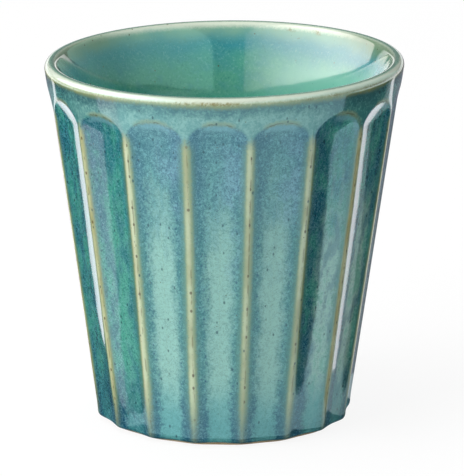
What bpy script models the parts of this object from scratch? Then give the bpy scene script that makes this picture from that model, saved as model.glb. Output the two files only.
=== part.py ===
"""Handleless stoneware latte cup with arched flutes, in metres, +Z up.

The origin is the centre of the circle that the foot stands on. The fired clay and its glaze coats are
separate solids: the clay is turned and fluted, the outer coat follows its flutes, the liner follows its
cavity and a thin coat lies in the recess of the foot. Every profile is made of arcs and the straight lines
that touch them, so one amount of growth moves a whole surface outwards along its normals.
"""

import math

import bpy
from mathutils import Matrix, Vector

# Overall sizes, measured over the glaze
HEIGHT = 0.0980
RIM_RADIUS = 0.0475
FOOT_RADIUS = 0.0344

# Glaze coats, and the gap that keeps each coat a solid of its own
OUTER_GLAZE = 0.00040
LINER_GLAZE = 0.00040
RECESS_GLAZE = 0.00035
COAT_GAP = 0.00020

# Clay walls
LIP_THICKNESS = 0.0025
HEEL_ROUNDING = 0.0034
WALL_AT_FLOOR = 0.0062
FLOOR_THICKNESS = 0.0046
COVE_ROUNDING = 0.0090

# Inside, the wall curves outwards to a thin lip: the curve's radius, and where it meets the lip's round
FLARE_ROUNDING = 0.0740
FLARE_ANGLE = math.radians(153)

# Foot
FOOT_RING_WIDTH = 0.0045
RECESS_DEPTH = 0.0016
RECESS_FILLET = 0.0010
RECESS_COAT_MARGIN = 0.0006

# Where the outer coat is wiped off, as an angle round the heel
GLAZE_LINE_ANGLE = math.radians(-44)

# Flutes, sized on the clay
FLUTE_COUNT = 17
FLUTE_APEX_BELOW_RIM = 0.0072
FLUTE_ARCH_RISE = 0.0050
FLUTE_DEPTH_AT_FOOT = 0.0010
FLUTE_DEPTH_AT_SPRING = 0.0014
RIDGE_WIDTH_AT_FOOT = 0.0011
RIDGE_WIDTH_AT_SPRING = 0.0015
FLUTE_RUN_OUT = 0.0040

# How far the flutes' own heel lies under the clay's, so that they run out just outside the foot ring
FLUTE_HEEL_DROP = 0.00025

# Roundness of the facets
TURN_STEPS = 56
CUTTER_STEPS = 96
LIP_STEPS = 4
HEEL_STEPS = 4
COVE_STEPS = 4
FLARE_STEPS = 5
FILLET_STEPS = 3
ARCH_STEPS = 7
MERGE_DISTANCE = 0.00001

# Colour and roughness of each surface
BARE_STONEWARE = ((0.52, 0.38, 0.25), 0.75)
REACTIVE_TEAL = ((0.11, 0.36, 0.34), 0.10)
TEAL_LINER = ((0.13, 0.38, 0.33), 0.10)
RECESS_TEAL = ((0.12, 0.34, 0.31), 0.14)

# The clay lip and heel are circles, placed so that the coat over them reaches the overall sizes
OUTER_COAT = COAT_GAP + OUTER_GLAZE
LINER_COAT = COAT_GAP + LINER_GLAZE
LIP_ROUNDING = LIP_THICKNESS / 2
LIP_CENTRE = Vector((RIM_RADIUS - OUTER_COAT - LIP_ROUNDING, HEIGHT - OUTER_COAT - LIP_ROUNDING))
HEEL_CENTRE = Vector((FOOT_RADIUS - OUTER_COAT - HEEL_ROUNDING, HEEL_ROUNDING))
FLOOR_HEIGHT = RECESS_DEPTH + FLOOR_THICKNESS
FOOT_RING_INSIDE = HEEL_CENTRE.x - FOOT_RING_WIDTH

QUARTER_TURN = math.radians(90)


def direction(angle):
    """Unit vector of the profile plane, as (radius, height)."""
    return Vector((math.cos(angle), math.sin(angle)))


def arc(centre, radius, start, end, steps):
    """Points on a circle of the profile plane, both ends included."""
    return [centre + radius * direction(start + (end - start) * i / steps) for i in range(steps + 1)]


def tangent_angle(upper, upper_radius, lower, lower_radius, side):
    """Angle of the normal of the line that touches two circles. A hollow arc has a negative radius."""
    between = upper - lower
    lean = math.acos((lower_radius - upper_radius) / between.length)
    return math.atan2(between.y, between.x) - side * lean


WALL_ANGLE = tangent_angle(LIP_CENTRE, LIP_ROUNDING, HEEL_CENTRE, HEEL_ROUNDING, 1)


def clay_radius(height):
    """Radius of the clay's straight outer wall before it is fluted."""
    touch = LIP_CENTRE + LIP_ROUNDING * direction(WALL_ANGLE)
    return touch.x + (height - touch.y) * -math.tan(WALL_ANGLE)


COVE_CENTRE = Vector(
    (
        clay_radius(FLOOR_HEIGHT + COVE_ROUNDING) - WALL_AT_FLOOR - COVE_ROUNDING,
        FLOOR_HEIGHT + COVE_ROUNDING,
    )
)
FLARE_CENTRE = LIP_CENTRE - (FLARE_ROUNDING - LIP_ROUNDING) * direction(FLARE_ANGLE)
INNER_ANGLE = tangent_angle(FLARE_CENTRE, FLARE_ROUNDING, COVE_CENTRE, -COVE_ROUNDING, -1)


def outer_side(grow, start=QUARTER_TURN, end=-QUARTER_TURN):
    """Outside of the clay grown by a coat, from the lip's crown down the wall and round the heel."""
    lip = arc(LIP_CENTRE, LIP_ROUNDING + grow, start, WALL_ANGLE, LIP_STEPS)
    heel = arc(HEEL_CENTRE, HEEL_ROUNDING + grow, WALL_ANGLE, end, HEEL_STEPS)
    return lip + heel


def inner_side(grow, end=QUARTER_TURN):
    """Inside of the clay grown by a coat, from the middle of the floor up the wall to the lip's crown."""
    floor = Vector((0, FLOOR_HEIGHT + grow))
    cove = arc(COVE_CENTRE, COVE_ROUNDING - grow, -QUARTER_TURN, INNER_ANGLE - math.pi, COVE_STEPS)
    flare = arc(FLARE_CENTRE, FLARE_ROUNDING + grow, INNER_ANGLE, FLARE_ANGLE, FLARE_STEPS)
    lip = arc(LIP_CENTRE, LIP_ROUNDING + grow, FLARE_ANGLE, end, LIP_STEPS)
    return [floor] + cove + flare + lip[1:]


def foot_side():
    """Underside of the clay, from the foot ring's inner edge to the middle of the recess."""
    fillet_centre = Vector((FOOT_RING_INSIDE - RECESS_FILLET, RECESS_DEPTH - RECESS_FILLET))
    fillet = arc(fillet_centre, RECESS_FILLET, 0, QUARTER_TURN, FILLET_STEPS)
    return [Vector((FOOT_RING_INSIDE, 0))] + fillet + [Vector((0, RECESS_DEPTH))]


def material(name, colour, roughness):
    made = bpy.data.materials.new(name)
    made.use_nodes = True
    shader = made.node_tree.nodes["Principled BSDF"]
    shader.inputs["Base Color"].default_value = (*colour, 1)
    shader.inputs["Roughness"].default_value = roughness
    shader.inputs["Metallic"].default_value = 0
    return made


def collection(name):
    made = bpy.data.collections.new(name)
    bpy.context.scene.collection.children.link(made)
    return made


def turned(name, profile, home, steps, closed=False):
    """Object whose profile, running down its outer side, is turned once about Z."""
    mesh = bpy.data.meshes.new(name)
    count = len(profile)
    links = [(i, (i + 1) % count) for i in range(count if closed else count - 1)]
    mesh.from_pydata([(p.x, 0, p.y) for p in profile], links, [])
    obj = bpy.data.objects.new(name, mesh)
    home.objects.link(obj)
    screw = obj.modifiers.new("turn", "SCREW")
    screw.steps = steps
    screw.render_steps = steps
    screw.use_merge_vertices = True
    screw.merge_threshold = MERGE_DISTANCE
    screw.use_smooth_shade = True
    return obj


def as_helper(obj):
    obj.hide_render = True
    obj.display_type = "WIRE"
    return obj


def subtract(obj, name):
    """Boolean that cuts something out of obj. The caller gives it its cutter."""
    cut = obj.modifiers.new(name, "BOOLEAN")
    cut.operation = "DIFFERENCE"
    return cut


class FluteStation:
    """One height of a flute: its floor, and the circle that scoops it to leave the ridge beside it."""

    def __init__(self, height, depth, ridge_width):
        wall = clay_radius(height)
        half_angle = math.pi / FLUTE_COUNT - ridge_width / 2 / wall
        half_width = wall * math.sin(half_angle)
        hollow = depth - wall * (1 - math.cos(half_angle))
        self.floor = Vector((wall - depth, height))
        self.radius = (half_width**2 + hollow**2) / (2 * hollow)


SPRING_HEIGHT = HEIGHT - FLUTE_APEX_BELOW_RIM - FLUTE_ARCH_RISE
FOOT_STATION = FluteStation(0, FLUTE_DEPTH_AT_FOOT, RIDGE_WIDTH_AT_FOOT)
SPRING_STATION = FluteStation(SPRING_HEIGHT, FLUTE_DEPTH_AT_SPRING, RIDGE_WIDTH_AT_SPRING)
FLUTE_FLOOR = SPRING_STATION.floor - FOOT_STATION.floor
FLUTE_TAPER = math.asin((SPRING_STATION.radius - FOOT_STATION.radius) / FLUTE_FLOOR.length)
FLUTE_LEAN = math.atan2(FLUTE_FLOOR.x, FLUTE_FLOOR.y) + FLUTE_TAPER


def flute_cutter_profile(grow):
    """Tapered round bar along its own axis from the foot. Its domed end cuts the arch, its flare the heel."""
    length = FLUTE_FLOOR.length * math.cos(FLUTE_TAPER)
    # The dome is as tall as brings its floor out of the leaning wall at the top of the arch
    closing = FLUTE_ARCH_RISE * math.tan(FLUTE_LEAN + WALL_ANGLE)
    rise_turn = math.acos(1 - (FLUTE_DEPTH_AT_SPRING - closing) / SPRING_STATION.radius)
    dome_height = FLUTE_ARCH_RISE / math.sin(rise_turn)
    last_turn = math.asin((FLUTE_ARCH_RISE + FLUTE_RUN_OUT) / dome_height)
    dome = []
    for i in range(ARCH_STEPS + 1):
        along, up = direction(last_turn * (1 - i / ARCH_STEPS))
        dome.append(Vector(((SPRING_STATION.radius - grow) * along, length + (dome_height - grow) * up)))
    # The bar flares along the heel's own round, so that the flute follows the heel down to the foot ring
    heel_height = (HEEL_ROUNDING * (1 - math.sin(FLUTE_LEAN)) - FLUTE_HEEL_DROP) / math.cos(FLUTE_LEAN)
    heel_radius = FOOT_STATION.radius + heel_height * math.tan(FLUTE_TAPER) + HEEL_ROUNDING
    heel_end = math.pi + QUARTER_TURN - FLUTE_LEAN
    heel = arc(Vector((heel_radius, heel_height)), HEEL_ROUNDING + grow, math.pi, heel_end, HEEL_STEPS)
    low_end = [Vector((heel[-1].x, -FLUTE_RUN_OUT)), Vector((0, -FLUTE_RUN_OUT))]
    return [Vector((0, dome[0].y))] + dome + heel + low_end


def flute(obj, grow):
    """Scoops a ring of flutes, grown by a coat, out of obj. One flute faces -Y."""
    cutters = collection(obj.name + "_flutes")
    profile = flute_cutter_profile(grow)
    foot = FOOT_STATION.floor + FOOT_STATION.radius * direction(-FLUTE_LEAN)
    place = Matrix.Translation((foot.x, 0, foot.y)) @ Matrix.Rotation(FLUTE_LEAN, 4, "Y")
    for i in range(FLUTE_COUNT):
        cutter = as_helper(turned(f"{obj.name}_flute_{i:02d}", profile, cutters, CUTTER_STEPS))
        cutter.matrix_world = Matrix.Rotation(2 * math.pi * i / FLUTE_COUNT - QUARTER_TURN, 4, "Z") @ place
    cut = subtract(obj, "flutes")
    cut.operand_type = "COLLECTION"
    cut.collection = cutters


def stoneware_body(home):
    profile = inner_side(0) + outer_side(0)[1:] + foot_side()
    body = turned("stoneware_body", profile, home, TURN_STEPS)
    flute(body, 0)
    body.data.materials.append(material("bare_stoneware", *BARE_STONEWARE))
    return body


def glaze_core(home):
    """What the outer coat lies on: the clay's fluted outside grown by the gap alone."""
    inside = [
        Vector((HEEL_CENTRE.x - HEEL_ROUNDING, -COAT_GAP)),
        Vector((LIP_CENTRE.x - LIP_ROUNDING, LIP_CENTRE.y + LIP_ROUNDING + COAT_GAP)),
    ]
    core = as_helper(turned("glaze_core", outer_side(COAT_GAP) + inside, home, TURN_STEPS, closed=True))
    flute(core, COAT_GAP)
    return core


def outer_glaze(home, cutters):
    """The coat is the grown outside less the same outside grown by the gap alone."""
    crown = QUARTER_TURN - COAT_GAP / 2 / LIP_ROUNDING
    skin = outer_side(OUTER_COAT, crown, GLAZE_LINE_ANGLE) + [HEEL_CENTRE, LIP_CENTRE]
    coat = turned("outer_glaze", skin, home, TURN_STEPS, closed=True)
    flute(coat, OUTER_COAT)
    hollow = subtract(coat, "hollow")
    hollow.object = glaze_core(cutters)
    # The two skins run almost side by side, which the exact solver leaves open
    hollow.solver = "MANIFOLD"
    coat.data.materials.append(material("reactive_teal_glaze", *REACTIVE_TEAL))
    return coat


def liner_glaze(home):
    crown = QUARTER_TURN + COAT_GAP / 2 / LIP_ROUNDING
    surface = inner_side(LINER_COAT, crown)
    under = inner_side(COAT_GAP, crown)
    liner = turned("liner_glaze", surface + list(reversed(under)), home, TURN_STEPS)
    liner.data.materials.append(material("teal_liner_glaze", *TEAL_LINER))
    return liner


def recess_glaze(home):
    top = RECESS_DEPTH - COAT_GAP
    bottom = top - RECESS_GLAZE
    edge = FOOT_RING_INSIDE - RECESS_FILLET - RECESS_COAT_MARGIN
    bead_centre = Vector((edge, (top + bottom) / 2))
    bead = arc(bead_centre, RECESS_GLAZE / 2, QUARTER_TURN, -QUARTER_TURN, FILLET_STEPS)
    coat = turned("recess_glaze", [Vector((0, top))] + bead + [Vector((0, bottom))], home, TURN_STEPS)
    coat.data.materials.append(material("recess_teal_glaze", *RECESS_TEAL))
    return coat


def main():
    for obj in list(bpy.data.objects):
        bpy.data.objects.remove(obj)
    home = collection("fluted_latte_cup")
    stoneware_body(home)
    outer_glaze(home, collection("cutters"))
    liner_glaze(home)
    recess_glaze(home)


main()
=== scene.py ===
# %% [markdown]
# # A fluted latte cup in reactive teal glaze
#
# The real cup is one casting of stoneware with three coats of glass fired on to it. The CAD
# model already holds those four pieces at the right size. This lesson gives each of them the
# surface that a camera sees: flutes softened under melted glaze, a glaze that breaks to cream
# on every edge, and a bare clay foot. Every piece stays in the CAD model's frame.

# %% Load the frame
import math

import bpy
import numpy as np
from mathutils import Matrix, Vector


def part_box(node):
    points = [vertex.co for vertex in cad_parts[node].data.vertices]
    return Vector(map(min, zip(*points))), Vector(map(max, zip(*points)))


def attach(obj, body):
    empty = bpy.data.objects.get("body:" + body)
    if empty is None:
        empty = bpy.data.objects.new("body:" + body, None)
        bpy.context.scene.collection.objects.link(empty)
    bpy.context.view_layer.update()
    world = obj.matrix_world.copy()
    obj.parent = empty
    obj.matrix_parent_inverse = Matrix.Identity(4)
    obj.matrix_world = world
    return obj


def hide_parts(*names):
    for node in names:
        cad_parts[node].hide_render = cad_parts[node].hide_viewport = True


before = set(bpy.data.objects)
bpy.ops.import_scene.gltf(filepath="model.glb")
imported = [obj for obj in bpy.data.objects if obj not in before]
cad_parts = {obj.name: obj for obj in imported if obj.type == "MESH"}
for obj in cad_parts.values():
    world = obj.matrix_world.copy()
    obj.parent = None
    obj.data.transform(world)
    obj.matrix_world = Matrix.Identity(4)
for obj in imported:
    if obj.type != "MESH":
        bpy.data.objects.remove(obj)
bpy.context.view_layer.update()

print("CAD pieces:", sorted(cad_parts))

# %% [markdown]
# ## Sizes
#
# All shapes below are worked out in millimetres and put into metres when a mesh is made. The
# rim and the height come from the CAD box. The other sizes repeat the CAD model's own numbers,
# because a piece that replaces a node must lie where the node lies.

# %% Sizes in millimetres
MM = 0.001
coat_high = np.array(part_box("outer_glaze")[1]) / MM
RIM_RADIUS = coat_high[0]
HEIGHT = coat_high[2]
COAT = 0.6  # from the clay to the front of the glass
LIP_BALL = 1.25
HEEL_BALL = 3.4
COVE_BALL = 9.0
FOOT_RADIUS = 34.4
FLOOR_HEIGHT = 6.2
WALL_AT_FLOOR = 6.2
FLARE_BALL = 74.0
FLARE_TURN = 153.0  # degrees at which the lip's round runs into the flare
FOOT_RING_INSIDE = 25.9
RECESS_DEPTH = 1.6
RECESS_FILLET = 1.0
GLAZE_LINE = -44.0  # degrees round the heel at which the glaze ends
FLUTES = 17
FLUTE_STEP = 2 * math.pi / FLUTES
PLAIN_BAND = 7.2
ARCH_RISE = 5.0
SPRING_HEIGHT = HEIGHT - PLAIN_BAND - ARCH_RISE
FOOT_DEPTH, FOOT_RIDGE = 1.0, 1.1
SPRING_DEPTH, SPRING_RIDGE = 1.4, 1.5
HEEL_DROP = 0.25
print(f"rim radius {RIM_RADIUS:.1f} mm, height {HEIGHT:.1f} mm, {FLUTES} flutes")

# %% [markdown]
# ## The turned profile
#
# A potter's wall has a round lip, a straight side and a round heel. That is the path of a ball
# that rolls from the lip to the heel while its radius changes: the line that touches both balls
# is the wall. Writing the profile this way gives the point and its normal at once, and a coat
# of glaze is the same point moved out along the normal. The inside is the same idea with a
# hollow ball, whose radius counts as negative, in the corner between wall and floor.

# %% Profile of the clay
def touching_turn(upper, lower, side):
    """Turn, in degrees, of the normal of the line that touches two balls (radius, height, ball).

    The line between the centres, turned to one side by the angle whose cosine is the
    difference of the ball radii over the distance of the centres.
    """
    across, up = upper[0] - lower[0], upper[1] - lower[1]
    lean = math.acos((lower[2] - upper[2]) / math.hypot(across, up))
    return math.degrees(math.atan2(up, across) - side * lean)


def rolled(share, turn, first, last):
    """A ball rolled from one centre to another: centre + ball radius * (cos turn, sin turn).

    Share 0 is the first ball and 1 the last. Returns the point as radius and height, and the
    normal's two parts.
    """
    middle = [a + share * (b - a) for a, b in zip(first, last)]
    out, up = np.cos(np.radians(turn)), np.sin(np.radians(turn))
    return middle[0] + middle[2] * out, middle[1] + middle[2] * up, out, up


LIP = (RIM_RADIUS - COAT - LIP_BALL, HEIGHT - COAT - LIP_BALL, LIP_BALL)
HEEL = (FOOT_RADIUS - COAT - HEEL_BALL, HEEL_BALL, HEEL_BALL)
WALL_TURN = touching_turn(LIP, HEEL, 1)


def wall_radius(height):
    """Radius of the straight clay wall, continued up and down: a line through the lip's tangent."""
    out, up = math.cos(math.radians(WALL_TURN)), math.sin(math.radians(WALL_TURN))
    return LIP[0] + LIP_BALL * out - (height - LIP[1] - LIP_BALL * up) * up / out


cove_height = FLOOR_HEIGHT + COVE_BALL
COVE = (wall_radius(cove_height) - WALL_AT_FLOOR - COVE_BALL, cove_height, -COVE_BALL)
flare_reach = FLARE_BALL - LIP_BALL
flare_radius = LIP[0] - flare_reach * math.cos(math.radians(FLARE_TURN))
flare_height = LIP[1] - flare_reach * math.sin(math.radians(FLARE_TURN))
FLARE = (flare_radius, flare_height, FLARE_BALL)
LINER_TURN = touching_turn(FLARE, COVE, -1) % 360
print(f"outer wall leans {-WALL_TURN:.2f} degrees, inner wall {180 - LINER_TURN:.2f}")

# %% [markdown]
# ## The flutes
#
# Each flute is a scoop by a long round tool that leans with the wall and ends in a dome, so its
# top leaves an arch. A Boolean would give hard edges. A formula is better here: at each height
# the tool is a circle, and the distance from the wall to that circle is the depth of the cut.
# The tool swells at the heel, so the flutes run round it and give the foot its scalloped outline.
# Where the depth would be negative, nothing is cut, and a soft corner between the two keeps the
# rounded look that melted glaze gives a ridge. Small seeded differences between the flutes are
# what a hand leaves.

# %% Depth of the flutes
hand = np.random.default_rng(17)
flute_lift = hand.uniform(-0.35, 0.35, FLUTES)
flute_swing = hand.uniform(-0.16, 0.16, FLUTES)
flute_ease = hand.uniform(-0.04, 0.05, FLUTES)
flute_phase = hand.uniform(0, 2 * math.pi, FLUTES)
pool_shift = hand.uniform(-0.04, 0.2, FLUTES)
pool_depth = hand.uniform(0.8, 1.0, FLUTES)
teal_share = hand.uniform(0.0, 0.3, FLUTES)
# Flutes 14, 15, 16, 0, 1, 2 and 3 face the camera, from left to right, and are set one by one.
pool_shift[[0, 2, 16]] = 0.05, 0.34, 0.0
pool_depth[[14, 15]] = 0.25
teal_share[[2, 3, 14, 15]] = 1.0, 1.0, 0.95, 0.55
teal_share[[0, 1, 16]] = 0.0
SOFT_CORNER = 0.42
WANDER, WANDER_LENGTH, MIDDLE_RADIUS = 0.10, 13.0, 44.0
UNCUT = -9.0


def station(height, depth, ridge_width):
    """A flute's tool at one height, as the distance of its middle from the axis and its radius.

    The circle passes through the flute's floor and through the two edges of the ridges.
    """
    wall = wall_radius(height)
    half = FLUTE_STEP / 2 - ridge_width / 2 / wall
    sink = depth - wall * (1 - math.cos(half))
    tool = ((wall * math.sin(half)) ** 2 + sink ** 2) / (2 * sink)
    return wall - depth + tool, tool


foot_middle, foot_tool = station(0, FOOT_DEPTH, FOOT_RIDGE)
spring_middle, spring_tool = station(SPRING_HEIGHT, SPRING_DEPTH, SPRING_RIDGE)
middle_slope = (spring_middle - foot_middle) / SPRING_HEIGHT
tool_slope = (spring_tool - foot_tool) / SPRING_HEIGHT
wall_slope = -math.tan(math.radians(WALL_TURN))
floor_lean = math.atan(middle_slope - tool_slope)
heel_touch = HEEL_BALL * (1 - math.sin(floor_lean)) - HEEL_DROP
heel_floor = foot_middle - foot_tool + heel_touch * math.tan(floor_lean)
heel_middle = heel_floor - HEEL_BALL * math.cos(floor_lean)
closing = (SPRING_DEPTH - (middle_slope - wall_slope) * ARCH_RISE) / spring_tool
DOME = ARCH_RISE / math.sqrt(1 - (1 - closing) ** 2)


def flute_wander(flute, height):
    """How far a flute strays sideways, in radians: a fixed swing and a slow wave up the wall."""
    wave = WANDER * np.sin(height / WANDER_LENGTH + flute_phase[flute])
    return (flute_swing[flute] + wave) / MIDDLE_RADIUS


def tool_radius(height):
    """Radius of the flute's tool, which tapers evenly up to the spring of the arch.

    At the heel it swells by as much as the heel's own round draws in from the straight floor of
    the flute: middle + sqrt(ball^2 - drop^2), for a ball of the heel's size.
    """
    straight = foot_tool + tool_slope * np.minimum(height, SPRING_HEIGHT)
    floor = foot_middle + middle_slope * height - straight
    drop = np.clip(HEEL_BALL - HEEL_DROP - np.minimum(height, heel_touch), -HEEL_BALL, HEEL_BALL)
    heel = heel_middle + np.sqrt(HEEL_BALL ** 2 - drop ** 2)
    return straight + np.where(height < heel_touch, floor - heel, 0)


def flute_cut(angle, radius, height):
    """Depth of the scoops under a turned surface, in millimetres, negative where nothing is cut.

    At each height the tool is a circle, and its near side as seen from the axis is
    middle * cos(angle) - sqrt(tool^2 - (middle * sin(angle))^2). Above the spring of the arch
    the circle shrinks as an ellipse does. Of the three nearest flutes the deepest counts.
    """
    nearest = np.rint(angle / FLUTE_STEP).astype(int)
    deepest = np.full(radius.shape, UNCUT)
    for step in (-1, 0, 1):
        flute = (nearest + step) % FLUTES
        off = angle - (nearest + step) * FLUTE_STEP - flute_wander(flute, height)
        middle = foot_middle + middle_slope * height
        over = np.maximum(height - SPRING_HEIGHT - flute_lift[flute], 0)
        tool = tool_radius(height) * np.sqrt(np.maximum(1 - (over / DOME) ** 2, 0))
        under = tool ** 2 - (middle * np.sin(off)) ** 2
        near_side = middle * np.cos(off) - np.sqrt(np.maximum(under, 0))
        depth = np.where(under > 0, radius - near_side - flute_ease[flute], UNCUT)
        deepest = np.maximum(deepest, depth)
    return deepest


def softened(depth):
    """A corner rounded off: half of depth + sqrt(depth^2 + corner^2), which fades to nought."""
    return (depth + np.sqrt(depth ** 2 + SOFT_CORNER ** 2)) / 2


def ridge_distance(angle, radius, height):
    """Distance along the wall to the nearest ridge's middle, and which ridge that is."""
    ridge = np.floor(angle / FLUTE_STEP).astype(int)
    left, right = ridge % FLUTES, (ridge + 1) % FLUTES
    stray = (flute_wander(left, height) + flute_wander(right, height)) / 2
    return np.abs(angle - (ridge + 0.5) * FLUTE_STEP - stray) * radius, left + 0 * height


def across_flute_values(angle, height):
    """Values that place the glaze in a flute.

    pool_side runs from -1 at the left ridge to 1 at the right one, less the pool's own shift.
    pool_depth is how much of the glaze pools there. arch_gap is the distance in millimetres to
    the arch's edge, positive inside: the edge is where level = sqrt(sideways^2 + upward^2) is 1,
    each part over its own half axis, and (1 - level) over the slope of level is the distance.
    teal_share is how far the flute ran to teal, and goes over into the next flute's share above
    the spring of the arches, where no ridge parts them.
    """
    nearest = np.rint(angle / FLUTE_STEP).astype(int)
    flute = nearest % FLUTES
    off = angle - nearest * FLUTE_STEP - flute_wander(flute, height)
    wall = wall_radius(SPRING_HEIGHT)
    half = FLUTE_STEP / 2 * wall - SPRING_RIDGE / 2
    sideways = off * wall / half
    upward = np.maximum(height - SPRING_HEIGHT - flute_lift[flute], 0) / ARCH_RISE
    level = np.maximum(np.hypot(sideways, upward), 0.05)
    slope = np.hypot(sideways / half, upward / ARCH_RISE) / level
    side = off / (FLUTE_STEP / 2) - pool_shift[flute]
    before = np.floor(angle / FLUTE_STEP).astype(int)
    part = angle / FLUTE_STEP - before
    between = teal_share[before % FLUTES] * (1 - part) + teal_share[(before + 1) % FLUTES] * part
    merged = np.clip((height - SPRING_HEIGHT) / ARCH_RISE, 0, 1)
    teal = teal_share[flute] * (1 - merged) + between * merged
    values = {"pool_side": side, "pool_depth": pool_depth[flute] + 0 * height}
    values.update({"arch_gap": (1 - level) / slope, "teal_share": teal})
    return values


print(f"tool radius {foot_tool:.1f} to {spring_tool:.1f} mm, dome {DOME:.1f} mm high")

# %% [markdown]
# ## Columns and rows
#
# The surfaces are grids. The columns crowd together at the ridges, where the shape turns
# quickest, and the rows crowd together in the band of the arches. The first rows after the
# crown of the lip are very close, so that the two coats that meet there share one normal.

# %% Columns and rows of the grids
COLUMNS_A_FLUTE = 40
across_flute = np.arange(COLUMNS_A_FLUTE) / COLUMNS_A_FLUTE
crowded = across_flute - 0.5 * np.sin(2 * math.pi * across_flute) / (2 * math.pi)
angle = ((np.arange(FLUTES)[:, None] + crowded - 0.5) * FLUTE_STEP).reshape(1, -1)
columns = angle.shape[1]

slow_wave = 2.2 * np.sin(3 * angle + 0.4) + 1.6 * np.sin(7 * angle + 2.1)
glaze_line = GLAZE_LINE + slow_wave + 1.4 * np.sin(FLUTES * angle + 1.57)

lip_turn = np.concatenate([[90.0, 89.7], np.linspace(85.0, WALL_TURN, 13)])
wall_top = LIP[1] + LIP_BALL * math.sin(math.radians(WALL_TURN))
wall_foot = HEEL[1] + HEEL_BALL * math.sin(math.radians(WALL_TURN))
arch_rows = np.arange(95.5, 78.0, -0.45)
wall_heights = np.concatenate([arch_rows, np.linspace(77.5, wall_foot, 40)])
wall_share = (wall_top - wall_heights) / (wall_top - wall_foot)
heel_share = np.linspace(0, 1, 17)[1:, None]

fixed_turn = np.concatenate([lip_turn, np.full(wall_share.size, WALL_TURN)])[:, None]
outer_turn = np.concatenate([fixed_turn + 0 * angle, WALL_TURN + heel_share * (glaze_line - WALL_TURN)])
outer_share = np.concatenate([0 * lip_turn, wall_share, np.ones(heel_share.size)])[:, None]
last_row = outer_share.size - 1
# The back needs fewer rows: every third down to below the arches, and every fifth under them.
hidden_rows = np.concatenate([[0], np.arange(4, 54, 3), np.arange(55, last_row, 5), [last_row]])
print(f"{outer_share.size} rows by {columns} columns on the outside, {hidden_rows.size} on its back")

# %% [markdown]
# ## From grids to meshes
#
# One function turns rings of points into a closed mesh. A ring joins the next with four-sided
# faces. The rings either come back to the first, as on a coat with a front and a back, or end
# in a point at both ends, as on a floor. The volume says whether the faces point outwards, and
# turns them round if they don't. A slight kiln warp, the same for all pieces, lets one side of
# the rim sink and pulls it a little out of round, as the photographed cup shows.

# %% Mesh maker
RIM_SLOPE = 0.016
OVAL, THREE_SIDED = 0.10, 0.02
STIFF_CORE = 20.0
SHARP_FROM = math.radians(50)


def fired(radius, height):
    """Rings of points in millimetres, (r sin, -r cos, z), with the kiln's warp.

    The warp grows with the square of z over the height. It draws the wall in by an oval and a
    three-sided wave, less inside the stiff core, and lowers a point by the slope times its
    distance from the high side. It never raises or widens, so no point leaves the CAD model's box.
    """
    share = (height / HEIGHT) ** 2
    drawn_in = OVAL * (1 + np.cos(2 * angle)) + THREE_SIDED * (1 + np.cos(3 * angle))
    radius = radius - share * drawn_in * np.minimum(radius / STIFF_CORE, 1)
    x, y = radius * np.sin(angle), -radius * np.cos(angle)
    return np.stack([x, y, height - RIM_SLOPE * (RIM_RADIUS - x) * share], axis=-1)


def ringed_mesh(name, rings, looped, values):
    """A closed mesh object from rings: rows x columns x 3, in millimetres.

    Values are point attributes, each rows x columns. Without a loop, the middle of the first
    and of the last ring becomes a point that closes that end.
    """
    rows = rings.shape[0]
    index = np.arange(rows * columns).reshape(rows, columns)
    here = index if looped else index[:-1]
    after = np.roll(index, -1, axis=0) if looped else index[1:]
    quads = np.stack([here, np.roll(here, -1, 1), np.roll(after, -1, 1), after], axis=-1).reshape(-1, 4)
    points = rings.reshape(-1, 3) * MM
    fans = np.empty((0, 3), int)
    if not looped:
        points = np.concatenate([points, rings[[0, -1]].mean(axis=1) * MM])
        low = np.stack([np.full(columns, rows * columns), np.roll(index[0], -1), index[0]], axis=-1)
        high = np.stack([np.full(columns, rows * columns + 1), index[-1], np.roll(index[-1], -1)], axis=-1)
        fans = np.concatenate([low, high])
    corner = points[quads]
    volume = np.einsum("ij,ij->", corner[:, 0], np.cross(corner[:, 1], corner[:, 2]))
    volume += np.einsum("ij,ij->", corner[:, 0], np.cross(corner[:, 2], corner[:, 3]))
    if volume < 0:
        quads, fans = quads[:, ::-1], fans[:, ::-1]
    mesh = bpy.data.meshes.new(name)
    mesh.from_pydata(points.tolist(), [], quads.tolist() + fans.tolist())
    mesh.polygons.foreach_set("use_smooth", np.ones(len(mesh.polygons), bool))
    mesh.set_sharp_from_angle(angle=SHARP_FROM)
    for label, value in values.items():
        flat = np.broadcast_to(value, (rows, columns))
        ends = [] if looped else flat[[0, -1]].mean(axis=1)
        layer = mesh.attributes.new(label, "FLOAT", "POINT")
        layer.data.foreach_set("value", np.concatenate([flat.ravel(), ends]).astype(np.float32))
    mesh.update()
    piece = bpy.data.objects.new(name, mesh)
    bpy.context.scene.collection.objects.link(piece)
    triangles = 2 * len(quads) + len(fans)
    print(f"{name}: {len(points)} points, {triangles} triangles")
    return piece


def seated(piece, node, finish):
    """Lets a piece stand for its CAD node, ride with the cup and take its finish."""
    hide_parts(node)
    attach(piece, "root")
    piece.data.materials.append(finish)


# %% [markdown]
# ## Nodes as arithmetic
#
# A glaze is arithmetic on noise and on distances, so the shader is written as arithmetic. A
# small class wraps a socket: adding or multiplying two of them adds the Math node. One method
# makes every other kind of node.

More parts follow.
